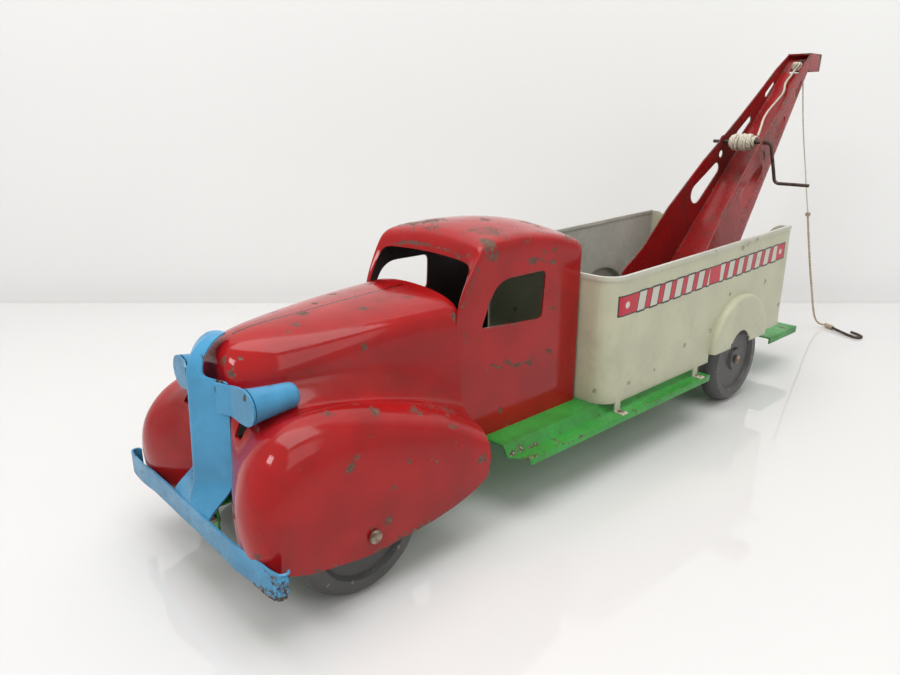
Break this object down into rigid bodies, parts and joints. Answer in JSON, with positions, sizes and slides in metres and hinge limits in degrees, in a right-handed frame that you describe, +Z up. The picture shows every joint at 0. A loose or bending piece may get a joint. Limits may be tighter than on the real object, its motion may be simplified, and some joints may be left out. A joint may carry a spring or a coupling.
{
  "type": "toy tow truck",
  "caption": "Pressed-steel toy tow truck: rounded cab and fenders, open-backed bed, slotted lifting boom with a hand crank, line and hook.",
  "frame": {"origin": "centre of the bottom of the truck's box, on the floor between the bumper and the tip of the boom, without the line and hook", "axes": "+Z up, -Y towards the front bumper, +X towards the truck's left side, where the crank's grip is"},
  "size_m": [0.133, 0.5496, 0.2176],
  "materials": {
    "red_paint": "gloss enamel, chipped",
    "blue_paint": "gloss enamel, chipped",
    "green_paint": "gloss enamel, worn",
    "cream_paint": "printed and varnished",
    "black_wheel": "satin",
    "steel": "dull",
    "dark_steel": "oxidised",
    "string": "matte twisted cotton"
  },
  "bodies": {
    "truck": {"cab_body": "red_paint", "grille_bumper": "blue_paint", "chassis": "green_paint", "truck_bed": "cream_paint", "boom": "red_paint", "front_axle": "steel", "rear_axle": "steel", "cab_rivets": "steel", "bed_board_rivets": "steel", "bed_floor_rivets": "steel", "boom_rivets": "steel", "bumper_rivets": "steel", "boom_line": "string", "tip_knot": "string", "hanging_line": "string", "line_knot": "string", "hook_line": "string", "hook": "dark_steel", "hook_wrap": "string"},
    "front_left_wheel": {"front_left_wheel": "black_wheel"},
    "front_right_wheel": {"front_right_wheel": "black_wheel"},
    "rear_left_wheel": {"rear_left_wheel": "black_wheel"},
    "rear_right_wheel": {"rear_right_wheel": "black_wheel"},
    "winch_crank": {"crank": "dark_steel", "line_winding": "string"}
  },
  "joints": [
    {"name": "front_left_wheel_spin", "type": "hinge", "parent": "truck", "child": "front_left_wheel", "pos_m": [0.046, -0.2084, 0.028], "axis": [1, 0, 0], "continuous": true},
    {"name": "front_right_wheel_spin", "type": "hinge", "parent": "truck", "child": "front_right_wheel", "pos_m": [-0.046, -0.2084, 0.028], "axis": [1, 0, 0], "continuous": true},
    {"name": "rear_left_wheel_spin", "type": "hinge", "parent": "truck", "child": "rear_left_wheel", "pos_m": [0.046, 0.0796, 0.028], "axis": [1, 0, 0], "continuous": true},
    {"name": "rear_right_wheel_spin", "type": "hinge", "parent": "truck", "child": "rear_right_wheel", "pos_m": [-0.046, 0.0796, 0.028], "axis": [1, 0, 0], "continuous": true},
    {"name": "crank_turn", "type": "hinge", "parent": "truck", "child": "winch_crank", "pos_m": [0, 0.1601, 0.1565], "axis": [1, 0, 0], "continuous": true}
  ]
}
